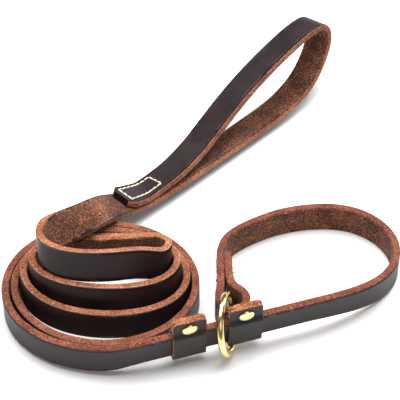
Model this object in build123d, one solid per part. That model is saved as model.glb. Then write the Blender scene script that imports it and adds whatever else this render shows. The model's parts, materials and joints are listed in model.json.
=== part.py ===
from build123d import *
import math
import os

os.makedirs("parts", exist_ok=True)

# A leather slip lead as it lies on a table, in millimetres.  +Z is up, the table is Z = 0 and
# the origin is under the middle of the whole lead.  One long strap stands on its edge: it starts
# as a stitched eye round a brass ring, makes the neck loop, runs back through the ring and two
# sliding stops, lies in a rising coil and ends in a stitched hand loop.

# Driving sizes of the strap
STRAP_WIDTH = 16.0
STRAP_THICK = 3.5
LAP_GAP = 0.2                       # air between the eye's two stitched layers
HAND_LAP_GAP = 0.5                  # the same for the hand loop, which bends as it closes
FLAT = -0.1                         # height of an edge that the table presses flat
BODY_GAP = 0.4                      # air between parts that move against each other

# The straight run that the ring and both stops ride on
RUN_SLOPE = 0.3067                  # dy/dx of the run
RUN_Y = -90.7                       # where the run's middle line crosses X = 0
RUN_HEIGHT = 14.9                   # height of the strap's middle line along the run
RUN_LEAN = 7.0                      # lean of the upper edge towards the front

# The ring
RING_WIRE = 3.4
RING_OUTER = 31.0
RING_CENTRE = (11.4, -84.1, 15.45)
RING_YAW = 9.3                      # turn of the ring's level diameter away from Y
RING_LEAN = 11.0                    # lean of the ring's top towards the coil

# The stops: a leather keeper folded under the strap and riveted above it
KEEPER_LEATHER = 1.6
KEEPER_SLIDE = 0.35                 # air between the keeper and the strap
KEEPER_LENGTH = 16.0
KEEPER_RISE = 10.5                  # height of the flaps above the strap
KEEPER_NECK = 2.6                   # height over which the flaps close above the strap
KEEPER_CORNER = 2.5                 # rounding of the flaps' top corners
KEEPER_FOLD = 1.9                   # outer rounding of the fold under the strap
FLAP_GAP = 0.8                      # air between the closed flaps
STOP_1_X = -7.2
STOP_2_X = 18.6

# The rivets
RIVET_HEAD = 7.6
RIVET_HEAD_THICK = 1.5
RIVET_POST = 3.0
RIVET_RISE = 4.4                    # height of the rivet's middle above the strap
RIVET_AIR = 0.05                    # air round the rivet in the leather

# The stitching
THREAD = 0.7
STITCH_PITCH = 3.2
STITCH_LENGTH = 2.3
STITCH_LIFT = 0.14                  # air under a stitch
HAND_BOX = (22.4, 9.6)              # length and width of the stitched box on the hand loop
HAND_BOX_START = 2.6                # from the strap's end
EYE_BOX = (12.8, 10.0)              # the same for the eye
EYE_BOX_START = 2.0
END_CORNER = 3.0                    # rounding of the hand loop's end
ROUND_STEPS = 6                     # sections in a rounded end

# The coil: plan size and height of the lower edge, worked out turn by turn
COIL_X = -46.8
COIL_HALF_WIDTH = 46.8              # from the coil's middle to the first turn's left side
COIL_STEP_IN = 4.2                  # how much each turn is narrower than the last
COIL_STATIONS = 12                  # stations in one turn
COIL_FRONT = (-99.7, -94.8, -84.3, -75.8, -65.8)
COIL_BACK = (-23.4, -27.2, -31.6, -36.4)
COIL_FOOT = (2.6, 0.4, 0, 0, 0, 0, 0, 2, 8, 7, 0, 11, 16, 13, 4, 19, 29, 29)
COIL_LEAN = (0, 0, 0, 0, 0, 0, 0, 0, 6, 2, 0, 2, 13, 2, 0, 2, 16, 0)
COIL_SPREAD = 1.035                 # a station ring is this much wider than the curve it gives

UP = Vector(0, 0, 1)
RUN_ALONG = Vector(1, RUN_SLOPE, 0).normalized()
RUN_UP = UP.rotate(Axis((0, 0, 0), RUN_ALONG), RUN_LEAN)
EYE_UP = Vector(-0.1, 0, 1).normalized()   # the stitched layers lean towards the coil


def run_y(x):
    """Y of the straight run's middle line at x."""
    return RUN_Y + RUN_SLOPE * x


def on_edge(x, y, foot, width_dir):
    """A station where the strap stands on its edge: its middle and its width direction."""
    return Vector(x, y, foot + STRAP_WIDTH / 2), width_dir


def upright(x, y, foot):
    """A station where the strap stands straight up."""
    return on_edge(x, y, foot, UP)


def easing_up(share):
    """The width direction where the strap has a share of the run's lean."""
    return UP.rotate(Axis((0, 0, 0), RUN_ALONG), RUN_LEAN * share)


def on_run(x):
    """A station on the straight run."""
    return Vector(x, run_y(x), RUN_HEIGHT), RUN_UP


def leaning(middle, toward):
    """A station where the strap's upper edge lies in the direction toward."""
    return Vector(*middle), Vector(*toward).normalized()


# The strap's stations, chosen by hand: the eye, the neck loop and the run
EYE = [
    on_edge(12.7, -44.3, 2.5, EYE_UP),
    on_edge(12.7, -55.8, 3.8, EYE_UP),
    upright(13.6, -64.6, 5.2),
    upright(19.3, -69.0, 6.0),
    upright(20.9, -75.0, 6.6),
    on_edge(17.6, -79.0, 6.6, RUN_UP),
    on_edge(10.6, -81.1, 6.6, RUN_UP),
    upright(6.9, -74.2, 6.5),
    upright(8.7, -64.1, 5.0),
    on_edge(9.0, -53.8, 3.8, EYE_UP),
    on_edge(9.0, -44.8, 2.6, EYE_UP),
]
NECK_LOOP = [
    upright(9.0, -39.8, 1.8),
    upright(10.8, -32.8, 0.8),
    upright(17.3, -26.1, 0.2),
    upright(25.8, -21.0, FLAT),
    upright(36.8, -15.8, FLAT),
    upright(50.8, -12.6, FLAT),
    upright(65.3, -12.2, FLAT),
    upright(77.8, -16.0, FLAT),
    upright(87.8, -24.2, FLAT),
    upright(93.0, -34.8, FLAT),
    upright(92.2, -46.2, 0.3),
    on_edge(85.6, -57.0, 1.8, easing_up(0.2)),
    on_edge(74.4, -65.4, 3.9, easing_up(0.5)),
    on_edge(61.2, -71.3, 5.8, easing_up(0.8)),
    on_run(50.8),
]
RUN = [on_run(x) for x in (42.8, 28.8, 12.8, -7.2, -21.2)]
RUN_END = [on_run(-31.2)]

# The top turn and the tail that climbs out of the coil and twists flat
TAIL = [
    leaning((-29.6, -64.0, 36.2), (0.5, 5, 15)),
    leaning((-44.0, -67.3, 37.4), (0, 5.4, 15)),
    leaning((-58.0, -67.0, 37.4), (0, 5.3, 15)),
    leaning((-68.9, -63.6, 37.4), (1.5, 3.5, 15)),
    leaning((-75.2, -57.0, 37.6), (0, 1, 15)),
    leaning((-74.6, -49.0, 36.8), (-1.5, 3, 15)),
    leaning((-69.7, -43.2, 33.9), (-5, 6, 12)),
    leaning((-63.0, -36.9, 30.3), (-6.5, 10.5, 7)),
    leaning((-55.7, -29.6, 27.1), (-7, 14, 2.5)),
    leaning((-48.5, -20.1, 21.9), (-6.5, 14.5, -0.5)),
    leaning((-41.2, -8.9, 12.4), (-6.5, 14, -3.5)),
    leaning((-32.2, -0.8, 6.5), (-8, 13, -4.2)),
]

# The hand loop lies in a tilted plane: how far along it and how far above it each station is
HAND_START = Vector(-26.2, 4.3, 5.4)
HAND_HEADING = 43.0
HAND_TILT = 17.0
HAND_OUTLINE = [
    (2, -0.3),
    (15, -0.9),
    (40, -1.2),
    (66, -1.5),
    (90, -1.2),
    (107, 3.5),
    (118, 12.0),
    (126.5, 23.5),
    (125, 32.5),
    (113, 33.2),
    (97, 30.4),
    (78, 26),
    (60, 20),
    (44, 13.2),
    (32, 8),
    (17, 4.2),
    (2, 3.4),
]


def coil_stations():
    """The coil from its front end up to the last stations before the top turn."""
    stations = []
    for step in range(4 * COIL_STATIONS - 1):
        turn = step / COIL_STATIONS
        angle = 2 * math.pi * turn
        half_width = (COIL_HALF_WIDTH - COIL_STEP_IN * turn) * COIL_SPREAD
        front = between(COIL_FRONT, turn)
        back = between(COIL_BACK, max(0.0, min(turn - 0.5, 3.0)))
        half_depth = (back - front) / 2 * COIL_SPREAD
        foot = between(COIL_FOOT, 4 * turn, smooth=True)
        lean = math.radians(between(COIL_LEAN, 4 * turn))
        x = COIL_X - half_width * math.sin(angle)
        y = (front + back) / 2 - half_depth * math.cos(angle)
        inward = Vector(math.sin(angle), math.cos(angle), 0)
        width_dir = inward * math.sin(lean) + UP * math.cos(lean)
        stations.append((Vector(x, y, foot + STRAP_WIDTH / 2), width_dir))
    return stations


def between(values, place, smooth=False):
    """The value at a fractional place in a list, along straight lines or smooth steps."""
    index = min(int(place + 1e-9), len(values) - 2)
    part = min(place - index, 1.0)
    if smooth:
        part = part * part * (3 - 2 * part)
    return values[index] + (values[index + 1] - values[index]) * part


def hand_stations():
    """The hand loop out and back in its own plane, then the end lying on the tail."""
    heading = math.radians(HAND_HEADING)
    tilt = math.radians(HAND_TILT)
    along = Vector(math.cos(heading), math.sin(heading), 0)
    side = Vector(-math.sin(heading), math.cos(heading), 0)
    width_dir = side * math.cos(tilt) - UP * math.sin(tilt)
    above = side * math.sin(tilt) + UP * math.cos(tilt)
    loop = [(HAND_START + along * far + above * high, width_dir) for far, high in HAND_OUTLINE]
    (before, _), (bend, bend_width), (last, last_width) = TAIL[-3:]
    on_bend = (before + bend * 6 + last) / 8
    off_tail = (last - bend).normalized().cross(bend_width) * (STRAP_THICK + HAND_LAP_GAP)
    return loop + [(last + off_tail, last_width), (on_bend + off_tail, bend_width)]


def whole_route():
    return EYE + NECK_LOOP + RUN + RUN_END + coil_stations() + TAIL + hand_stations()


class Ribbon:
    """A flat strap along a clamped quadratic spline through stations."""

    def __init__(self, stations):
        self.middles = [middle for middle, width_dir in stations]
        self.widths = [width_dir for middle, width_dir in stations]
        self.spans = len(stations) - 2

    def corner_points(self, points, span):
        """The start, control and end of one span of the spline."""
        control = points[span + 1]
        start = points[0] if span == 0 else (points[span] + control) * 0.5
        end = points[-1] if span == self.spans - 1 else (control + points[span + 2]) * 0.5
        return start, control, end

    def frame(self, place):
        """Middle, tangent, width direction and face normal at a place counted in spans."""
        span = min(int(place), self.spans - 1)
        t = place - span
        a, b, c = self.corner_points(self.middles, span)
        u, v, w = self.corner_points(self.widths, span)
        middle = a * (1 - t) ** 2 + b * 2 * t * (1 - t) + c * t ** 2
        tangent = ((b - a) * (1 - t) + (c - b) * t).normalized()
        width = u * (1 - t) ** 2 + v * 2 * t * (1 - t) + w * t ** 2
        width = (width - tangent * width.dot(tangent)).normalized()
        return middle, tangent, width, tangent.cross(width)

    def length(self, first, last, steps=24):
        """Length of the middle line between two places."""
        count = max(1, round((last - first) * steps))
        points = [self.frame(first + (last - first) * i / count)[0] for i in range(count + 1)]
        return sum((q - p).length for p, q in zip(points, points[1:]))

    def place_at(self, start, distance):
        """The place a distance along the strap from start, forwards or backwards."""
        step = 0.01 if distance > 0 else -0.01
        place = start
        travelled = 0.0
        here = self.frame(place)[0]
        while travelled < abs(distance):
            place += step
            there = self.frame(place)[0]
            travelled += (there - here).length
            here = there
        return place

    def section(self, place, half_width=STRAP_WIDTH / 2):
        """The strap's rectangular section as a closed wire."""
        middle, tangent, width, normal = self.frame(place)
        across = width * half_width
        out = normal * (STRAP_THICK / 2)
        corners = [across + out, out - across, -across - out, across - out]
        return Wire.make_polygon([middle + corner for corner in corners], close=True)

    def solid(self, first, last, steps=3, rounded_end=0.0):
        """The strap between two places, its far end's corners rounded when asked."""
        stop = self.place_at(last, -rounded_end) if rounded_end else last
        count = max(1, round((stop - first) * steps))
        wires = [self.section(first + (stop - first) * i / count) for i in range(count + 1)]
        for i in range(1, ROUND_STEPS + 1) if rounded_end else ():
            angle = math.pi / 2 * i / ROUND_STEPS
            place = self.place_at(stop, rounded_end * math.sin(angle)) if i < ROUND_STEPS else last
            wires.append(self.section(place, STRAP_WIDTH / 2 - rounded_end * (1 - math.cos(angle))))
        return Solid.make_loft(wires, ruled=True)


def stops_frame(x):
    """The stop's own frame on the run: X along the strap, Z to the strap's upper edge."""
    return Plane(on_run(x)[0], x_dir=RUN_ALONG, z_dir=RUN_UP)


def keeper_side(top_x, side_x, neck_z, foot_z, corner):
    """One contour of the keeper's section from the flap's top to the middle of its fold."""
    top_z = STRAP_WIDTH / 2 + KEEPER_RISE
    neck_top = neck_z + KEEPER_NECK
    neck_middle = neck_z + KEEPER_NECK / 2
    slant = corner * math.sin(math.pi / 4)
    centre = (side_x - corner, foot_z + corner)
    return [
        Line((top_x, top_z), (top_x, neck_top)),
        Bezier((top_x, neck_top), (top_x, neck_middle), (side_x, neck_middle), (side_x, neck_z)),
        Line((side_x, neck_z), (side_x, centre[1])),
        ThreePointArc(
            (side_x, centre[1]), (centre[0] + slant, centre[1] - slant), (centre[0], foot_z)
        ),
        Line((centre[0], foot_z), (0, foot_z)),
    ]


def keeper():
    """A strip of leather folded under the strap, its two flaps closed above it."""
    half = STRAP_THICK / 2 + KEEPER_SLIDE
    foot = -STRAP_WIDTH / 2 - KEEPER_SLIDE
    neck = STRAP_WIDTH / 2 + KEEPER_SLIDE
    flap = FLAP_GAP / 2
    skin = KEEPER_LEATHER
    inner = keeper_side(flap, half, neck, foot, KEEPER_FOLD - skin)
    outer = keeper_side(flap + skin, half + skin, neck - skin / 2, foot - skin, KEEPER_FOLD)
    top = Line(inner[0] @ 0, outer[0] @ 0)
    right = inner + outer + [top]
    left = [edge.mirror(Plane.YZ) for edge in right]
    section = Plane((-KEEPER_LENGTH / 2, 0, 0), x_dir=(0, 1, 0), z_dir=(1, 0, 0)) * make_face(right + left)
    body = extrude(section, amount=KEEPER_LENGTH)
    corners = body.edges().filter_by(Axis.Y).group_by(Axis.Z)[-1]
    body = fillet(corners, KEEPER_CORNER)
    return body - rivet_room()


def across_rivet(radius, length, middle):
    """A cylinder on the rivet's axis."""
    height = STRAP_WIDTH / 2 + RIVET_RISE
    return Pos(0, middle, height) * Rot(90, 0, 0) * Cylinder(radius, length)


def rivet_room():
    """What the rivet takes out of the keeper: the hole and the dents under its heads."""
    room = across_rivet(RIVET_POST / 2 + RIVET_AIR, STRAP_WIDTH, 0)
    face = FLAP_GAP / 2 + KEEPER_LEATHER
    for side in (-1, 1):
        room += across_rivet(RIVET_HEAD / 2 + RIVET_AIR, STRAP_THICK, side * (face + STRAP_THICK / 2))
    return room


def rivet():
    """A set rivet: a post with a domed cap on each flap."""
    face = FLAP_GAP / 2 + KEEPER_LEATHER
    body = across_rivet(RIVET_POST / 2, 2 * face, 0)
    for side in (-1, 1):
        cap = across_rivet(RIVET_HEAD / 2, RIVET_HEAD_THICK, side * (face + RIVET_HEAD_THICK / 2))
        rim = cap.edges().sort_by(Axis.Y)[0 if side < 0 else -1]
        body += fillet(rim, RIVET_HEAD_THICK * 0.8)
    return body


def ring():
    """The brass ring, leaning in the eye and standing on the table."""
    yaw = math.radians(RING_YAW)
    lean = math.radians(RING_LEAN)
    level = Vector(math.sin(yaw), math.cos(yaw), 0)
    normal = Vector(math.cos(yaw), -math.sin(yaw), 0) * math.cos(lean) + UP * math.sin(lean)
    radius = (RING_OUTER - RING_WIRE) / 2
    return Plane(Vector(*RING_CENTRE), x_dir=level, z_dir=normal) * Torus(radius, RING_WIRE / 2)


def box_stitches(length, width):
    """Each stitch round a rectangle: how far along, how far across, and whether it runs along."""
    long_count = round(length / STITCH_PITCH)
    short_count = round(width / STITCH_PITCH)
    stitches = []
    for i in range(long_count):
        for side in (-0.5, 0.5):
            stitches.append((length * (i + 0.5) / long_count, width * side, True))
    for i in range(short_count):
        for far in (0, length):
            stitches.append((far, width * ((i + 0.5) / short_count - 0.5), False))
    return stitches


def stitch(frame, across, side, runs_along):
    """One stitch lying on a face of the strap."""
    middle, tangent, width, normal = frame
    out = normal * side
    origin = middle + width * across + out * (STRAP_THICK / 2 + STITCH_LIFT + THREAD / 4)
    place = Plane(origin, x_dir=tangent if runs_along else width, z_dir=out)
    return place * Box(STITCH_LENGTH, THREAD, THREAD / 2)


def lap_stitching(strap, end, inward, box, start, under):
    """Both faces of a stitched lap: the strap's end and the layer of strap under it."""
    stitches = []
    for along, across, runs_along in box_stitches(*box):
        place = strap.place_at(end, inward * (start + along))
        top = strap.frame(place)
        below = min((strap.frame(other) for other in under), key=lambda f: (f[0] - top[0]).length)
        side = 1 if top[3].dot(top[0] - below[0]) > 0 else -1
        side_below = 1 if below[3].dot(below[0] - top[0]) > 0 else -1
        shift = (top[0] - below[0]).dot(top[1])
        below = (below[0] + below[1] * shift * top[1].dot(below[1]),) + below[1:]
        stitches.append(stitch(top, across, side, runs_along))
        stitches.append(stitch(below, across * top[2].dot(below[2]), side_below, runs_along))
    return stitches


def fine_places(first, last, steps=400):
    """Places spread evenly over a stretch of the strap."""
    return [first + (last - first) * i / steps for i in range(steps + 1)]


def save(node, shape):
    export_step(shape, f"parts/{node}.step")


# Where the strap is divided, in spans of its spline
STRAP = Ribbon(whole_route())
EYE_CUT = len(EYE) - 1
LOOP_CUT = EYE_CUT + len(NECK_LOOP)
RUN_CUT = LOOP_CUT + len(RUN)
TAIL_END = len(whole_route()) - len(hand_stations())
TAIL_CUT = TAIL_END - 6
STRAP_PIECES = {
    "strap_eye": (0, STRAP.place_at(EYE_CUT, -BODY_GAP / 2), 4, 0.0),
    "strap_neck_loop": (STRAP.place_at(EYE_CUT, BODY_GAP / 2), LOOP_CUT, 3, 0.0),
    "strap_run": (LOOP_CUT, RUN_CUT, 1, 0.0),
    "strap_coil": (RUN_CUT, TAIL_CUT, 3, 0.0),
    "strap_hand_loop": (TAIL_CUT, STRAP.spans, 4, END_CORNER),
}

for name, (first, last, steps, rounded) in STRAP_PIECES.items():
    piece = STRAP.solid(first, last, steps, rounded)
    if name == "strap_neck_loop":
        piece = split(piece, bisect_by=Plane.XY, keep=Keep.TOP)
    save(name, piece)
    length = STRAP.length(first, last)
    print(f"{name}: length {length:.0f} mm, volume {piece.volume:.0f} mm3, "
          f"section x length {STRAP_WIDTH * STRAP_THICK * length:.0f} mm3")

tail_places = fine_places(TAIL_END - 5, TAIL_END + 3)
hand_stitching = lap_stitching(STRAP, STRAP.spans, -1, HAND_BOX, HAND_BOX_START, tail_places)
save("hand_stitching", Compound(children=hand_stitching))
eye_places = fine_places(EYE_CUT - 4, EYE_CUT)
eye_stitching = lap_stitching(STRAP, 0, 1, EYE_BOX, EYE_BOX_START, eye_places)
save("eye_stitching", Compound(children=eye_stitching))

save("ring", ring())
for number, x in ((1, STOP_1_X), (2, STOP_2_X)):
    save(f"stop_{number}_keeper", stops_frame(x) * keeper())
    save(f"stop_{number}_rivet", stops_frame(x) * rivet())

print(f"strap length {STRAP.length(0, STRAP.spans):.0f} mm")
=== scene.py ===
import json
import math
import random

import bmesh
import bpy
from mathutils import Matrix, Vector

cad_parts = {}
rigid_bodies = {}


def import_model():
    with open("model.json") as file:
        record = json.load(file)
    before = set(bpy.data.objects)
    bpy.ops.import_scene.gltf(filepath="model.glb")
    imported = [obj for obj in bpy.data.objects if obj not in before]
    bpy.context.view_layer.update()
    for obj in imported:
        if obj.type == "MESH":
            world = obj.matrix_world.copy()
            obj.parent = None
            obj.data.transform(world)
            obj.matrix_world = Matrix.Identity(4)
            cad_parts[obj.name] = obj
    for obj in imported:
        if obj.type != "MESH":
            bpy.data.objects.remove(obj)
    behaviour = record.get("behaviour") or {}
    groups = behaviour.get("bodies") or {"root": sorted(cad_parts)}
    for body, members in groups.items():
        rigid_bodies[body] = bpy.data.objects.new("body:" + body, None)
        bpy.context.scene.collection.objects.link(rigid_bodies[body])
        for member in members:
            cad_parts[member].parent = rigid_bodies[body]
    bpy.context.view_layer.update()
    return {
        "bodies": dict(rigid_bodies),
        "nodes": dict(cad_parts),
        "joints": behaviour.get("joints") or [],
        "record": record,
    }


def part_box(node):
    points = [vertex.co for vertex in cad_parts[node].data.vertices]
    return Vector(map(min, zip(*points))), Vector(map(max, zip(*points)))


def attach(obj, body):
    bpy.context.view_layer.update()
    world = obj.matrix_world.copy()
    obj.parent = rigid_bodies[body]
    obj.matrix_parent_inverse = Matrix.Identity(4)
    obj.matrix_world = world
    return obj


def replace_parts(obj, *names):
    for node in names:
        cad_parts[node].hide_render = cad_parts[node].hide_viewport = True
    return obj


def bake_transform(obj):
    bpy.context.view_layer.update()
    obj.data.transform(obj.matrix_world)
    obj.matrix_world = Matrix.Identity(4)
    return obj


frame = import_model()
random.seed(7)

# Everything is in metres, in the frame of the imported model.
# Sizes of the strap and its stitching.  The thread is drawn a little fuller than in the part.
STRAP_WIDTH = 0.016
STRAP_THICK = 0.0035
HAND_LAP_GAP = 0.0005
STRAP_LENGTH = 1.47                 # the long piece, from the bending stretch to the hand loop's end
STITCH_PITCH = 0.0032
STITCH_LENGTH = 0.0026
THREAD = 0.0008
HAND_BOX = (0.0224, 0.0096)
HAND_BOX_START = 0.0026
EYE_BOX = (0.0128, 0.0100)
EYE_BOX_START = 0.0020
END_CORNER = 0.003

# The straight run
RUN_SLOPE = 0.3067
RUN_Y = -0.0907
RUN_HEIGHT = 0.0149
RUN_LEAN = math.radians(7.0)

# The keepers and the rivets
KEEPER_LEATHER = 0.0016
KEEPER_SLIDE = 0.00035
KEEPER_LENGTH = 0.016
KEEPER_RISE = 0.0105
KEEPER_NECK = 0.0026
KEEPER_CORNER = 0.0025
KEEPER_FOLD = 0.0019
FLAP_GAP = 0.0002                   # the flaps are pressed together, so the gap hardly shows
RIVET_HEAD = 0.0076
RIVET_HEAD_THICK = 0.0015
RIVET_RISE = 0.0044

# The ring
RING_WIRE = 0.0034
RING_OUTER = 0.031
RING_CENTRE = (0.0114, -0.0841, 0.01545)
RING_YAW = math.radians(9.3)
RING_LEAN = math.radians(11.0)

# The coil, worked out turn by turn
COIL_X = -0.0468
COIL_HALF_WIDTH = 0.0468
COIL_STEP_IN = 0.0042
COIL_STATIONS = 12
COIL_FRONT = (-0.0997, -0.0948, -0.0843, -0.0758, -0.0658)
COIL_BACK = (-0.0234, -0.0272, -0.0316, -0.0364)
COIL_FOOT = (0.0026, 0.0004, 0, 0, 0, 0, 0, 0.002, 0.008, 0.007, 0, 0.011,
             0.016, 0.013, 0.004, 0.019, 0.029, 0.029)
COIL_LEAN = (0, 0, 0, 0, 0, 0, 0, 0, 6, 2, 0, 2, 13, 2, 0, 2, 16, 0)
COIL_SPREAD = 1.035

# The camera stands where the pieces line up with how the lead is usually shown
CAMERA_TARGET = Vector((-0.0012, 0.0052, 0.0))
CAMERA_DISTANCE = 0.9
CAMERA_RISE = math.radians(49)
CAMERA_LENS = 162

UP = Vector((0, 0, 1))
RUN_ALONG = Vector((1, RUN_SLOPE, 0)).normalized()
RUN_BACK = UP.cross(RUN_ALONG)
RUN_UP = UP * math.cos(RUN_LEAN) - RUN_BACK * math.sin(RUN_LEAN)
EYE_UP = Vector((-0.1, 0, 1)).normalized()   # the stitched layers lean towards the coil
RUN_OUT = RUN_UP.cross(RUN_ALONG)   # out of the strap's suede face, towards the back


# ---- the strap's route ----

def on_edge(x, y, foot, width_dir):
    """A station where the strap stands on its edge: its middle and its width direction."""
    return Vector((x, y, foot + STRAP_WIDTH / 2)), width_dir


def upright(x, y, foot):
    """A station where the strap stands straight up."""
    return on_edge(x, y, foot, UP)


def easing_up(share):
    """The width direction where the strap has a share of the run's lean."""
    return UP * math.cos(RUN_LEAN * share) - RUN_BACK * math.sin(RUN_LEAN * share)


def on_run(x):
    """A station on the straight run."""
    return Vector((x, RUN_Y + RUN_SLOPE * x, RUN_HEIGHT)), RUN_UP


def leaning(middle, toward):
    """A station where the strap's upper edge lies in the direction toward."""
    return Vector(middle), Vector(toward).normalized()


EYE = [
    on_edge(0.0127, -0.0443, 0.0025, EYE_UP),
    on_edge(0.0127, -0.0558, 0.0038, EYE_UP),
    upright(0.0136, -0.0646, 0.0052),
    upright(0.0193, -0.069, 0.006),
    upright(0.0209, -0.075, 0.0066),
    on_edge(0.0176, -0.079, 0.0066, RUN_UP),
    on_edge(0.0106, -0.0811, 0.0066, RUN_UP),
    upright(0.0069, -0.0742, 0.0065),
    upright(0.0087, -0.0641, 0.005),
    on_edge(0.009, -0.0538, 0.0038, EYE_UP),
    on_edge(0.009, -0.0448, 0.0026, EYE_UP),
]
NECK_LOOP = [
    upright(0.009, -0.0398, 0.0018),
    upright(0.0108, -0.0328, 0.0008),
    upright(0.0173, -0.0261, 0.0002),
    upright(0.0258, -0.021, 0.0),
    upright(0.0368, -0.0158, 0.0),
    upright(0.0508, -0.0126, 0.0),
    upright(0.0653, -0.0122, 0.0),
    upright(0.0778, -0.016, 0.0),
    upright(0.0878, -0.0242, 0.0),
    upright(0.093, -0.0348, 0.0),
    upright(0.0922, -0.0462, 0.0003),
    on_edge(0.0856, -0.057, 0.0018, easing_up(0.2)),
    on_edge(0.0744, -0.0654, 0.0039, easing_up(0.5)),
    on_edge(0.0612, -0.0713, 0.0058, easing_up(0.8)),
    on_run(0.0508),
]
RUN = [on_run(x) for x in (0.0428, 0.0288, 0.0128, -0.0072, -0.0212)]
RUN_END = [on_run(-0.0312)]

# The top turn and the tail that climbs out of the coil and twists flat
TAIL = [
    leaning((-0.0296, -0.064, 0.0362), (0.5, 5, 15)),
    leaning((-0.044, -0.0673, 0.0374), (0, 5.4, 15)),
    leaning((-0.058, -0.067, 0.0374), (0, 5.3, 15)),
    leaning((-0.0689, -0.0636, 0.0374), (1.5, 3.5, 15)),
    leaning((-0.0752, -0.057, 0.0376), (0, 1, 15)),
    leaning((-0.0746, -0.049, 0.0368), (-1.5, 3, 15)),
    leaning((-0.0697, -0.0432, 0.0339), (-5, 6, 12)),
    leaning((-0.063, -0.0369, 0.0303), (-6.5, 10.5, 7)),
    leaning((-0.0557, -0.0296, 0.0271), (-7, 14, 2.5)),
    leaning((-0.0485, -0.0201, 0.0219), (-6.5, 14.5, -0.5)),
    leaning((-0.0412, -0.0089, 0.0124), (-6.5, 14, -3.5)),
    leaning((-0.0322, -0.0008, 0.0065), (-8, 13, -4.2)),
]

# The hand loop lies in a tilted plane: how far along it and how far above it each station is
HAND_START = Vector((-0.0262, 0.0043, 0.0054))
HAND_HEADING = math.radians(43)
HAND_TILT = math.radians(17)
HAND_OUTLINE = [
    (0.002, -0.0003),
    (0.015, -0.0009),
    (0.04, -0.0012),
    (0.066, -0.0015),
    (0.09, -0.0012),
    (0.107, 0.0035),
    (0.118, 0.012),
    (0.1265, 0.0235),
    (0.125, 0.0325),
    (0.113, 0.0332),
    (0.097, 0.0304),
    (0.078, 0.026),
    (0.06, 0.02),
    (0.044, 0.0132),
    (0.032, 0.008),
    (0.017, 0.0042),
    (0.002, 0.0034),
]


def between(values, place, smooth=False):
    """The value at a fractional place in a list, along straight lines or smooth steps."""
    index = min(int(place + 1e-9), len(values) - 2)
    part = min(place - index, 1.0)
    if smooth:
        part = part * part * (3 - 2 * part)
    return values[index] + (values[index + 1] - values[index]) * part


def coil_stations():
    """The coil from its front end up to the last stations before the top turn."""
    stations = []
    for step in range(4 * COIL_STATIONS - 1):
        turn = step / COIL_STATIONS
        angle = 2 * math.pi * turn
        half_width = (COIL_HALF_WIDTH - COIL_STEP_IN * turn) * COIL_SPREAD
        front = between(COIL_FRONT, turn)
        back = between(COIL_BACK, max(0.0, min(turn - 0.5, 3.0)))
        half_depth = (back - front) / 2 * COIL_SPREAD
        foot = between(COIL_FOOT, 4 * turn, smooth=True)
        lean = math.radians(between(COIL_LEAN, 4 * turn))
        x = COIL_X - half_width * math.sin(angle)
        y = (front + back) / 2 - half_depth * math.cos(angle)
        inward = Vector((math.sin(angle), math.cos(angle), 0))
        stations.append(on_edge(x, y, foot, inward * math.sin(lean) + UP * math.cos(lean)))
    return stations


def hand_stations():
    """The hand loop out and back in its own plane, then the end lying on the tail."""
    along = Vector((math.cos(HAND_HEADING), math.sin(HAND_HEADING), 0))
    side = Vector((-math.sin(HAND_HEADING), math.cos(HAND_HEADING), 0))
    width_dir = side * math.cos(HAND_TILT) - UP * math.sin(HAND_TILT)
    above = side * math.sin(HAND_TILT) + UP * math.cos(HAND_TILT)
    loop = [(HAND_START + along * far + above * high, width_dir) for far, high in HAND_OUTLINE]
    (before, _), (bend, bend_width), (last, last_width) = TAIL[-3:]
    on_bend = (before + bend * 6 + last) / 8
    off_tail = (last - bend).normalized().cross(bend_width) * (STRAP_THICK + HAND_LAP_GAP)
    return loop + [(last + off_tail, last_width), (on_bend + off_tail, bend_width)]


ROUTE = EYE + NECK_LOOP + RUN + RUN_END + coil_stations() + TAIL + hand_stations()
STEPS = 8                           # points that the spline gives in each of its spans


def spline_points(points):
    """Points on the smooth NURBS line that has the given control points."""
    curve = bpy.data.curves.new("route", "CURVE")
    curve.dimensions = "3D"
    curve.resolution_u = STEPS
    spline = curve.splines.new("NURBS")
    spline.points.add(len(points) - 1)
    for target, point in zip(spline.points, points):
        target.co = (*point, 1)
    spline.order_u = 3
    spline.use_endpoint_u = True
    holder = bpy.data.objects.new("route", curve)
    mesh = bpy.data.meshes.new_from_object(holder)
    line = [vertex.co.copy() for vertex in mesh.vertices]
    bpy.data.objects.remove(holder)
    bpy.data.curves.remove(curve)
    bpy.data.meshes.remove(mesh)
    return line


def strap_frames():
    """Middle, tangent, width direction and face normal all along the strap."""
    middles = spline_points([middle for middle, width_dir in ROUTE])
    edges = spline_points([middle + width_dir * STRAP_WIDTH / 2 for middle, width_dir in ROUTE])
    frames = []
    for i, middle in enumerate(middles):
        before = middles[max(i - 1, 0)]
        after = middles[min(i + 1, len(middles) - 1)]
        tangent = (after - before).normalized()
        width = edges[i] - middle
        width = (width - tangent * width.dot(tangent)).normalized()
        frames.append((middle, tangent, width, tangent.cross(width)))
    return frames


STRAP = strap_frames()
SPANS = len(ROUTE) - 2


def index_at(place):
    """The index of the frame at a place counted in spans of the spline."""
    return round(place / SPANS * (len(STRAP) - 1))


def frame_along(start, distance):
    """The frame exactly a distance along the strap from an index."""
    step = 1 if distance > 0 else -1
    index = start
    left = abs(distance)
    while True:
        leg = (STRAP[index + step][0] - STRAP[index][0]).length
        if leg >= left:
            break
        left -= leg
        index += step
    part = left / leg
    a, b = STRAP[index], STRAP[index + step]
    return tuple((p * (1 - part) + q * part) if k == 0 else (p * (1 - part) + q * part).normalized()
                 for k, (p, q) in enumerate(zip(a, b)))


# ---- meshes ----

EDGE_ROUND = 0.0006                 # rounding of a cut edge
BURNISH = 0.0032                    # darkened stretch at the hand loop's end
GRAIN, SUEDE, CUT, RIM, BURNISHED = range(5)   # material slots of a piece of leather


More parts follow.
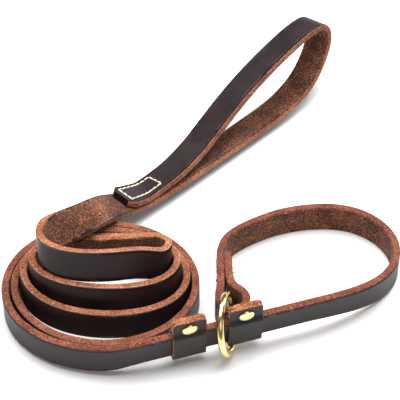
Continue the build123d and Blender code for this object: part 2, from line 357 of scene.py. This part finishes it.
def leather_section(half_width, half_thick):
    """A strip's section as (across, out, material) points going round: grain face is out < 0."""
    r = min(EDGE_ROUND, half_thick * 0.4)
    w, h = half_width, half_thick
    flat = [w * part for part in (-0.93, -0.75, -0.4, 0.0, 0.4, 0.75, 0.93)]
    grain = [(a, -h, GRAIN) for a in flat]
    suede = [(-a, h, SUEDE) for a in flat]
    # The RIM faces round the grain-side corner; on the strap they carry a painted highlight.
    side = [
        (w - r, -h, GRAIN),
        (w - r * 0.3, -h + r * 0.3, RIM),
        (w, -h + r, CUT),
        (w * 1.002, 0.0, CUT),
        (w, h - r, CUT),
        (w - r * 0.3, h - r * 0.3, SUEDE),
        (w - r, h, SUEDE),
    ]
    other = [(-a, b, m) for a, b, m in reversed(side)]
    other_slots = [SUEDE, SUEDE, CUT, CUT, RIM, GRAIN, GRAIN]
    other = [(a, b, m) for (a, b, _), m in zip(other, other_slots)]
    return grain + side + suede + other


def strip_mesh(name, frames, half_widths, thick, materials, rough=0.0, closed=(True, True), burnish=0.0):
    """A strip of leather through frames, closed at its free ends, with its materials and UVs."""
    mesh = bpy.data.meshes.new(name)
    work = bmesh.new()
    uv_layer = work.loops.layers.uv.new("along")
    rings = []
    lengths = [0.0]
    for (p, *_), (q, *_) in zip(frames, frames[1:]):
        lengths.append(lengths[-1] + (q - p).length)
    for row, ((middle, tangent, width, normal), half_width) in enumerate(zip(frames, half_widths)):
        rough_here = 0.0 if row in (0, len(frames) - 1) else rough
        section = leather_section(half_width, thick / 2)
        ring = []
        for across, out, slot in section:
            wobble = random.uniform(-rough_here, rough_here) if slot in (CUT, SUEDE) else 0.0
            ring.append(work.verts.new(middle + width * across + normal * (out + wobble)))
        rings.append(ring)
    count = len(section)
    for i in range(len(rings) - 1):
        for j in range(count):
            k = (j + 1) % count
            face = work.faces.new((rings[i][j], rings[i][k], rings[i + 1][k], rings[i + 1][j]))
            face.material_index = BURNISHED if lengths[-1] - lengths[i] < burnish else section[j][2]
            face.smooth = True
            corners = ((i, j), (i, j + 1), (i + 1, j + 1), (i + 1, j))
            for loop, (row, column) in zip(face.loops, corners):
                loop[uv_layer].uv = (lengths[row], column / count)
    for ring, is_free in zip((rings[0][::-1], rings[-1]), closed):
        if is_free:
            work.faces.new(ring).material_index = BURNISHED if burnish else CUT
    bmesh.ops.recalc_face_normals(work, faces=work.faces)
    work.to_mesh(mesh)
    work.free()
    for material in materials:
        mesh.materials.append(material)
    piece = bpy.data.objects.new(name, mesh)
    bpy.context.scene.collection.objects.link(piece)
    return piece


def lathe(name, profile, origin, axis, material, steps=48):
    """A solid of revolution: profile is (radius, height) points along the axis."""
    axis = axis.normalized()
    across = axis.orthogonal().normalized()
    other = axis.cross(across)
    mesh = bpy.data.meshes.new(name)
    work = bmesh.new()
    rings = []
    for radius, height in profile:
        ring = []
        for i in range(steps):
            angle = 2 * math.pi * i / steps
            spoke = across * math.cos(angle) + other * math.sin(angle)
            ring.append(work.verts.new(origin + axis * height + spoke * max(radius, 1e-6)))
        rings.append(ring)
    for low, high in zip(rings, rings[1:]):
        for i in range(steps):
            k = (i + 1) % steps
            face = work.faces.new((low[i], low[k], high[k], high[i]))
            face.smooth = True
    work.faces.new(rings[0][::-1])
    work.faces.new(rings[-1])
    bmesh.ops.remove_doubles(work, verts=work.verts, dist=1e-6)
    bmesh.ops.recalc_face_normals(work, faces=work.faces)
    work.to_mesh(mesh)
    work.free()
    mesh.materials.append(material)
    piece = bpy.data.objects.new(name, mesh)
    bpy.context.scene.collection.objects.link(piece)
    return piece


def tube_ring(name, centre, level, normal, radius, wire, material, steps=96, sides=24):
    """The ring: a round wire bent into a circle, with the faint flat of its welded joint."""
    up = normal.cross(level)
    mesh = bpy.data.meshes.new(name)
    work = bmesh.new()
    rows = []
    for i in range(steps):
        angle = 2 * math.pi * i / steps
        spoke = level * math.cos(angle) + up * math.sin(angle)
        weld = math.exp(-((angle - math.pi) / 0.05) ** 2)
        row = []
        for j in range(sides):
            turn = 2 * math.pi * j / sides
            out = spoke * math.cos(turn) + normal * math.sin(turn)
            row.append(work.verts.new(centre + spoke * radius + out * wire / 2 * (1 - 0.04 * weld)))
        rows.append(row)
    for i in range(steps):
        for j in range(sides):
            a, b = rows[i], rows[(i + 1) % steps]
            k = (j + 1) % sides
            face = work.faces.new((a[j], a[k], b[k], b[j]))
            face.smooth = True
    bmesh.ops.recalc_face_normals(work, faces=work.faces)
    work.to_mesh(mesh)
    work.free()
    mesh.materials.append(material)
    piece = bpy.data.objects.new(name, mesh)
    bpy.context.scene.collection.objects.link(piece)
    return piece


# ---- materials ----

def node_material(name, roughness, metallic=0.0):
    """A material with its node tree, shader and object coordinates."""
    material = bpy.data.materials.new(name)
    material.use_nodes = True
    tree = material.node_tree
    shader = tree.nodes["Principled BSDF"]
    shader.inputs["Roughness"].default_value = roughness
    shader.inputs["Metallic"].default_value = metallic
    place = tree.nodes.new("ShaderNodeTexCoord").outputs["Object"]
    return material, tree, shader, place


def noise(tree, place, scale, detail=4.0, rough=0.6):
    """Cloudy noise with features about 1 / scale metres across."""
    node = tree.nodes.new("ShaderNodeTexNoise")
    node.inputs["Scale"].default_value = scale
    node.inputs["Detail"].default_value = detail
    node.inputs["Roughness"].default_value = rough
    tree.links.new(place, node.inputs["Vector"])
    return node.outputs["Fac"]


def cells(tree, place, scale, feature="DISTANCE_TO_EDGE"):
    """Cell noise, for pores and the small plates of leather grain."""
    node = tree.nodes.new("ShaderNodeTexVoronoi")
    node.feature = feature
    node.inputs["Scale"].default_value = scale
    tree.links.new(place, node.inputs["Vector"])
    return node.outputs["Distance"]


def ramp(tree, value, stops):
    """A colour ramp from (position, colour) stops."""
    node = tree.nodes.new("ShaderNodeValToRGB")
    elements = node.color_ramp.elements
    while len(elements) < len(stops):
        elements.new(0.5)
    for element, (position, colour) in zip(elements, stops):
        element.position = position
        element.color = (*colour, 1)
    tree.links.new(value, node.inputs["Fac"])
    return node.outputs["Color"]


def math_node(tree, operation, a, b):
    """One step of arithmetic on sockets or plain numbers."""
    node = tree.nodes.new("ShaderNodeMath")
    node.operation = operation
    for socket, value in zip(node.inputs, (a, b)):
        if isinstance(value, (int, float)):
            socket.default_value = value
        else:
            tree.links.new(value, socket)
    return node.outputs["Value"]


def bump(tree, shader, height, distance, strength=1.0):
    """Relief on a shader, from a height that stands for a distance in metres."""
    node = tree.nodes.new("ShaderNodeBump")
    node.inputs["Strength"].default_value = strength
    node.inputs["Distance"].default_value = distance
    tree.links.new(height, node.inputs["Height"])
    tree.links.new(node.outputs["Normal"], shader.inputs["Normal"])


def mix_colours(tree, amount, a, b):
    """Colour a going over to colour b."""
    node = tree.nodes.new("ShaderNodeMix")
    node.data_type = "RGBA"
    tree.links.new(amount, node.inputs["Factor"])
    tree.links.new(a, node.inputs["A"])
    tree.links.new(b, node.inputs["B"])
    return node.outputs["Result"]


def grain_leather(name, dark, light, roughness):
    """Smooth waxed grain: fine plates and pores, cloudy colour and gloss."""
    material, tree, shader, place = node_material(name, roughness)
    clouds = noise(tree, place, 60, 6)
    fine = noise(tree, place, 1500, 3)
    value = math_node(tree, "ADD", math_node(tree, "MULTIPLY", clouds, 0.6),
                      math_node(tree, "MULTIPLY", fine, 0.4))
    tree.links.new(ramp(tree, value, [(0.38, dark), (0.66, light)]), shader.inputs["Base Color"])
    plates = math_node(tree, "MULTIPLY", cells(tree, place, 1400), 0.5)
    pores = math_node(tree, "MULTIPLY", noise(tree, place, 2600, 2), 0.5)
    bump(tree, shader, math_node(tree, "ADD", plates, pores), 0.00012, 0.4)
    gloss = ramp(tree, clouds, [(0.3, (roughness - 0.06,) * 3), (0.7, (roughness + 0.1,) * 3)])
    tree.links.new(gloss, shader.inputs["Roughness"])
    shader.inputs["Specular IOR Level"].default_value = 0.32
    return material


def fibre_colours(tree, value, colours):
    """Dark pits, the leather between and the light ends of its fibres."""
    low, middle, high = colours
    return ramp(tree, value, [(0.36, low), (0.5, middle), (0.63, high)])


def raw_leather(name, colours, speck, depth, far_colours=None, roughness=0.92):
    """Rough suede or a cut edge, whose colour may change along the strap."""
    material, tree, shader, place = node_material(name, roughness)
    tufts = noise(tree, place, speck, 4, 0.7)
    patches = noise(tree, place, 90, 3)
    value = math_node(tree, "ADD", math_node(tree, "MULTIPLY", tufts, 0.75),
                      math_node(tree, "MULTIPLY", patches, 0.25))
    colour = fibre_colours(tree, value, colours)
    if far_colours:
        along = tree.nodes.new("ShaderNodeUVMap")
        along.uv_map = "along"
        parts = tree.nodes.new("ShaderNodeSeparateXYZ")
        tree.links.new(along.outputs["UV"], parts.inputs["Vector"])
        share = ramp(tree, math_node(tree, "DIVIDE", parts.outputs["X"], STRAP_LENGTH), WORN_ALONG)
        colour = mix_colours(tree, share, colour, fibre_colours(tree, value, far_colours))
    tree.links.new(colour, shader.inputs["Base Color"])
    bump(tree, shader, tufts, depth, 0.9)
    shader.inputs["Sheen Weight"].default_value = 0.12
    shader.inputs["Sheen Roughness"].default_value = 0.5
    shader.inputs["Specular IOR Level"].default_value = 0.12
    return material


def brass(name):
    """Polished pale brass with faint clouding and fine scratches."""
    material, tree, shader, place = node_material(name, 0.2, 1.0)
    clouds = noise(tree, place, 160, 4)
    colour = ramp(tree, clouds, [(0.3, (0.78, 0.58, 0.22)), (0.7, (0.93, 0.76, 0.38))])
    tree.links.new(colour, shader.inputs["Base Color"])
    gloss = ramp(tree, noise(tree, place, 500, 5), [(0.3, (0.08,) * 3), (0.75, (0.2,) * 3)])
    tree.links.new(gloss, shader.inputs["Roughness"])
    bump(tree, shader, noise(tree, place, 300, 2), 0.00003, 0.15)
    return material


def waxed_thread(name):
    """Cream waxed thread: twisted plies with a little dirt between them."""
    material, tree, shader, place = node_material(name, 0.6)
    plies = noise(tree, place, 1800, 3)
    colour = ramp(tree, plies, [(0.3, (0.50, 0.38, 0.24)), (0.55, (0.86, 0.77, 0.58))])
    tree.links.new(colour, shader.inputs["Base Color"])
    bump(tree, shader, plies, 0.0001, 0.6)
    return material


def studio_floor(name):
    """A plain white table top with the faintest unevenness."""
    material, tree, shader, place = node_material(name, 0.6)
    colour = ramp(tree, noise(tree, place, 3, 2), [(0.3, (0.93, 0.93, 0.93)), (0.7, (0.95, 0.95, 0.95))])
    tree.links.new(colour, shader.inputs["Base Color"])
    return material


# Where the cut edge is dyed dark (0) and where it is raw (1), by share of the strap's length
WORN_ALONG = [(0.0, (0, 0, 0)), (0.2, (0.1, 0.1, 0.1)), (0.42, (0.35, 0.35, 0.35)), (0.6, (1, 1, 1)),
              (0.84, (1, 1, 1)), (0.9, (0.45, 0.45, 0.45))]
SUEDE_COLOURS = ((0.020, 0.008, 0.005), (0.085, 0.030, 0.016), (0.36, 0.14, 0.065))
DYED_COLOURS = ((0.045, 0.012, 0.008), (0.15, 0.043, 0.027), (0.36, 0.13, 0.075))
RAW_COLOURS = ((0.07, 0.022, 0.010), (0.27, 0.088, 0.036), (0.66, 0.29, 0.14))
# The rim colours are the raw edge's orange made lighter: a painted highlight along the rounded grain-side
# corner.
RIM_HIGHLIGHT_COLOURS = ((0.20, 0.075, 0.045), (0.36, 0.16, 0.10), (0.60, 0.32, 0.20))
STRAP_LEATHER = [
    grain_leather("strap_grain", (0.008, 0.004, 0.005), (0.026, 0.012, 0.013), 0.47),
    raw_leather("strap_suede", SUEDE_COLOURS, 1100, 0.0004),
    raw_leather("strap_cut_edge", DYED_COLOURS, 1300, 0.0003, RAW_COLOURS),
    # the rim's lighter colours are a painted highlight on the rounded grain-side corner
    raw_leather("strap_rim_highlight", DYED_COLOURS, 700, 0.0001, RIM_HIGHLIGHT_COLOURS),
    grain_leather("burnished_end", (0.004, 0.003, 0.003), (0.010, 0.006, 0.006), 0.3),
]
KEEPER_EDGE = raw_leather("keeper_cut_edge", RAW_COLOURS, 1300, 0.0003)
KEEPER_GRAINS = [
    grain_leather("worn_keeper_grain", (0.020, 0.012, 0.009), (0.046, 0.028, 0.021), 0.62),
    grain_leather("black_keeper_grain", (0.007, 0.007, 0.007), (0.018, 0.017, 0.017), 0.5),
]
BRASS = brass("pale_brass")
WAXED_THREAD = waxed_thread("cream_thread")


# ---- the pieces of the lead ----

def strap_piece(name, first, last, closed, rounded_end=0.0, burnish=0.0):
    """The strap between two frames, its far end's corners rounded when asked."""
    frames = STRAP[first:last + 1]
    to_end = 0.0
    half_widths = []
    for i in range(len(frames) - 1, -1, -1):
        if i < len(frames) - 1:
            to_end += (frames[i + 1][0] - frames[i][0]).length
        inset = max(rounded_end - to_end, 0.0)
        kept = math.sqrt(max(rounded_end ** 2 - inset ** 2, 0))
        half_widths.insert(0, STRAP_WIDTH / 2 - rounded_end + kept)
    return strip_mesh(name, frames, half_widths, STRAP_THICK, STRAP_LEATHER, 0.00006, closed, burnish)


EYE_END = index_at(len(EYE) - 1)
BEND_END = index_at(len(EYE) + 3)
LAST = len(STRAP) - 1

eye = strap_piece("eye_strap", 0, EYE_END, (True, False))
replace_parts(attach(eye, "slip_end"), "strap_eye")

bend = strap_piece("bending_strap", EYE_END, BEND_END, (False, False))
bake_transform(bend)

strap = strap_piece("long_strap", BEND_END, LAST, (False, True), END_CORNER, BURNISH)
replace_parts(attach(strap, "root"), "strap_neck_loop", "strap_run", "strap_coil", "strap_hand_loop")
strap_path = [frame[0] for frame in STRAP[BEND_END:]]
strap_length = sum((q - p).length for p, q in zip(strap_path, strap_path[1:]))
print(f"long strap {strap_length:.3f} m")


def box_stitches(length, width):
    """Each stitch round a rectangle: how far along, how far across, and whether it runs along."""
    long_count = round(length / STITCH_PITCH)
    short_count = round(width / STITCH_PITCH)
    stitches = []
    for i in range(long_count):
        for side in (-0.5, 0.5):
            stitches.append((length * (i + 0.5) / long_count, width * side, True))
    for i in range(short_count):
        for far in (0, length):
            stitches.append((far, width * ((i + 0.5) / short_count - 0.5), False))
    return stitches


def stitch_points(frame, across, side, runs_along):
    """The middle line of one stitch: out of one hole, over the leather and into the next."""
    middle, tangent, width, normal = frame
    out = normal * side
    along = tangent if runs_along else width
    base = middle + width * across + out * STRAP_THICK / 2
    points = []
    for i in range(9):
        t = i / 8 * 2 - 1
        rise = THREAD * (0.35 - 0.75 * t ** 4)
        points.append(base + along * t * STITCH_LENGTH / 2 + out * rise)
    return points


def add_tube(work, points, radius, sides=8):
    """A round tube along a few points, added to a bmesh."""
    rows = []
    for i, point in enumerate(points):
        tangent = (points[min(i + 1, len(points) - 1)] - points[max(i - 1, 0)]).normalized()
        across = tangent.orthogonal().normalized()
        other = tangent.cross(across)
        row = []
        for j in range(sides):
            angle = 2 * math.pi * j / sides
            spoke = across * math.cos(angle) + other * math.sin(angle)
            row.append(work.verts.new(point + spoke * radius))
        rows.append(row)
    for low, high in zip(rows, rows[1:]):
        for j in range(sides):
            k = (j + 1) % sides
            face = work.faces.new((low[j], low[k], high[k], high[j]))
            face.smooth = True
    work.faces.new(rows[0][::-1])
    work.faces.new(rows[-1])


def lap_stitching(name, end, inward, box, start, under):
    """Stitches on both faces of a lap: the strap's end and the layer of strap under it."""
    mesh = bpy.data.meshes.new(name)
    work = bmesh.new()
    for along, across, runs_along in box_stitches(*box):
        top = frame_along(end, inward * (start + along))
        below = min(STRAP[under[0]:under[1]], key=lambda frame: (frame[0] - top[0]).length)
        shift = (top[0] - below[0]).dot(below[1])
        below = (below[0] + below[1] * shift, *below[1:])
        side = 1 if top[3].dot(top[0] - below[0]) > 0 else -1
        side_below = 1 if below[3].dot(below[0] - top[0]) > 0 else -1
        across_below = across * (1 if top[2].dot(below[2]) > 0 else -1)
        add_tube(work, stitch_points(top, across, side, runs_along), THREAD / 2)
        add_tube(work, stitch_points(below, across_below, side_below, runs_along), THREAD / 2)
    bmesh.ops.recalc_face_normals(work, faces=work.faces)
    work.to_mesh(mesh)
    work.free()
    mesh.materials.append(WAXED_THREAD)
    piece = bpy.data.objects.new(name, mesh)
    bpy.context.scene.collection.objects.link(piece)
    return piece


TAIL_END = len(ROUTE) - len(hand_stations())
hand_thread = lap_stitching("hand_loop_stitches", LAST, -1, HAND_BOX, HAND_BOX_START,
                            (index_at(TAIL_END - 5), index_at(TAIL_END + 3)))
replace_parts(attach(hand_thread, "root"), "hand_stitching")
eye_thread = lap_stitching("eye_stitches", 0, 1, EYE_BOX, EYE_BOX_START,
                           (index_at(len(EYE) - 5), EYE_END))
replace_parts(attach(eye_thread, "slip_end"), "eye_stitching")


def keeper_side(top_x, side_x, neck_z, foot_z, corner):
    """Points down one contour of the keeper's section, from the flap's top to its fold's middle."""
    top_z = STRAP_WIDTH / 2 + KEEPER_RISE
    neck_top = neck_z + KEEPER_NECK
    points = [(top_x, top_z + (neck_top - top_z) * i / 12) for i in range(13)]
    for i in range(1, 9):
        t = i / 8
        smooth = t * t * (3 - 2 * t)
        points.append((top_x + (side_x - top_x) * smooth, neck_top + (neck_z - neck_top) * t))
    for i in range(1, 9):
        points.append((side_x, neck_z + (foot_z + corner - neck_z) * i / 8))
    for i in range(1, 9):
        angle = math.pi / 2 * i / 8
        points.append((side_x - corner * (1 - math.cos(angle)), foot_z + corner * (1 - math.sin(angle))))
    for i in range(1, 4):
        points.append(((side_x - corner) * (1 - i / 3), foot_z))
    return points


def keeper(name, x, body, grain):
    """A strip of leather folded under the strap, its two flaps closed above it."""
    origin = on_run(x)[0]
    half = STRAP_THICK / 2 + KEEPER_SLIDE
    foot = -STRAP_WIDTH / 2 - KEEPER_SLIDE
    neck = STRAP_WIDTH / 2 + KEEPER_SLIDE
    flap = FLAP_GAP / 2
    skin = KEEPER_LEATHER
    inner = keeper_side(flap, half, neck, foot, KEEPER_FOLD - skin)
    outer = keeper_side(flap + skin, half + skin, neck - skin / 2, foot - skin, KEEPER_FOLD)
    back = [((a[0] + b[0]) / 2, (a[1] + b[1]) / 2) for a, b in zip(inner, outer)]
    line = [(-y, z) for y, z in back] + back[-2::-1]
    out_of = [(b[0] - a[0], b[1] - a[1]) for a, b in zip(inner, outer)]
    outs = [(-y, z) for y, z in out_of] + out_of[-2::-1]
    top = STRAP_WIDTH / 2 + KEEPER_RISE
    frames = []
    half_lengths = []
    for (y, z), (out_y, out_z) in zip(line, outs):
        middle = origin + RUN_OUT * y + RUN_UP * z
        out = (RUN_OUT * out_y + RUN_UP * out_z).normalized()
        frames.append((middle, RUN_ALONG.cross(out), RUN_ALONG, -out))
        inset = max(z - (top - KEEPER_CORNER), 0.0)
        corner = KEEPER_CORNER - math.sqrt(max(KEEPER_CORNER ** 2 - inset ** 2, 0.0))
        half_lengths.append(KEEPER_LENGTH / 2 - corner)
    materials = [grain, KEEPER_EDGE, KEEPER_EDGE, KEEPER_EDGE]
    piece = strip_mesh(name, frames, half_lengths, skin, materials, 0.00004)
    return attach(piece, body)


def rivet(name, x, body):
    """A set rivet: a domed cap on each flap and the post between them."""
    origin = on_run(x)[0] + RUN_UP * (STRAP_WIDTH / 2 + RIVET_RISE)
    face = FLAP_GAP / 2 + KEEPER_LEATHER
    dome = [(RIVET_HEAD / 2 * math.sin(math.pi / 2 * i / 8),
             face + RIVET_HEAD_THICK * (0.25 + 0.75 * math.cos(math.pi / 2 * i / 8))) for i in range(9)]
    half = dome + [(RIVET_HEAD / 2, face), (0.0015, face)]
    profile = [(r, h) for r, h in half] + [(r, -h) for r, h in reversed(half)]
    piece = lathe(name, profile, origin, RUN_OUT, BRASS)
    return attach(piece, body)


for number, grain in enumerate(KEEPER_GRAINS, 1):
    node = f"stop_{number}_rivet"
    low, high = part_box(node)
    x = (low.x + high.x) / 2
    stop_body = f"stop_{number}"
    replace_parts(keeper(f"stop_{number}_leather", x, stop_body, grain), f"stop_{number}_keeper")
    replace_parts(rivet(f"stop_{number}_brass_rivet", x, stop_body), node)

ring_level = Vector((math.sin(RING_YAW), math.cos(RING_YAW), 0))
ring_facing = Vector((math.cos(RING_YAW), -math.sin(RING_YAW), 0))
ring_normal = ring_facing * math.cos(RING_LEAN) + UP * math.sin(RING_LEAN)
ring_radius = (RING_OUTER - RING_WIRE) / 2
ring = tube_ring("brass_ring", Vector(RING_CENTRE), ring_level, ring_normal, ring_radius, RING_WIRE, BRASS)
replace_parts(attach(ring, "slip_ring"), "ring")


# ---- the studio ----

def add_floor():
    mesh = bpy.data.meshes.new("table_top")
    half = 3.0
    corners = [(-half, -half, 0), (half, -half, 0), (half, half, 0), (-half, half, 0)]
    mesh.from_pydata(corners, [], [(0, 1, 2, 3)])
    mesh.materials.append(studio_floor("table_white"))
    floor = bpy.data.objects.new("table_top", mesh)
    floor.location.z = -0.0001
    bpy.context.scene.collection.objects.link(floor)


def add_area_light(name, place, size, power, target=(0, 0, 0)):
    light = bpy.data.lights.new(name, "AREA")
    light.shape = "RECTANGLE"
    light.size = size[0]
    light.size_y = size[1]
    light.energy = power
    lamp = bpy.data.objects.new(name, light)
    lamp.location = place
    lamp.rotation_euler = (Vector(target) - Vector(place)).to_track_quat("-Z", "Y").to_euler()
    bpy.context.scene.collection.objects.link(lamp)


def add_world(strength):
    world = bpy.data.worlds.new("studio")
    world.use_nodes = True
    background = world.node_tree.nodes["Background"]
    background.inputs["Color"].default_value = (1, 1, 1, 1)
    background.inputs["Strength"].default_value = strength
    bpy.context.scene.world = world


def add_camera():
    camera = bpy.data.cameras.new("camera")
    camera.lens = CAMERA_LENS
    camera.sensor_width = 36
    camera.clip_start = 0.05
    back = Vector((0, -math.cos(CAMERA_RISE), math.sin(CAMERA_RISE)))
    holder = bpy.data.objects.new("camera", camera)
    holder.location = CAMERA_TARGET + back * CAMERA_DISTANCE
    holder.rotation_euler = (-back).to_track_quat("-Z", "Y").to_euler()
    bpy.context.scene.collection.objects.link(holder)
    bpy.context.scene.camera = holder


add_floor()
add_area_light("overhead", (0.0, 0.25, 1.2), (1.2, 1.0), 34)
add_area_light("front_fill", (0.3, -0.9, 0.9), (1.2, 0.6), 2)
add_area_light("rim", (0.8, 0.6, 0.5), (0.4, 0.6), 4)
add_world(0.22)
add_camera()
bpy.context.scene.view_settings.view_transform = "Standard"
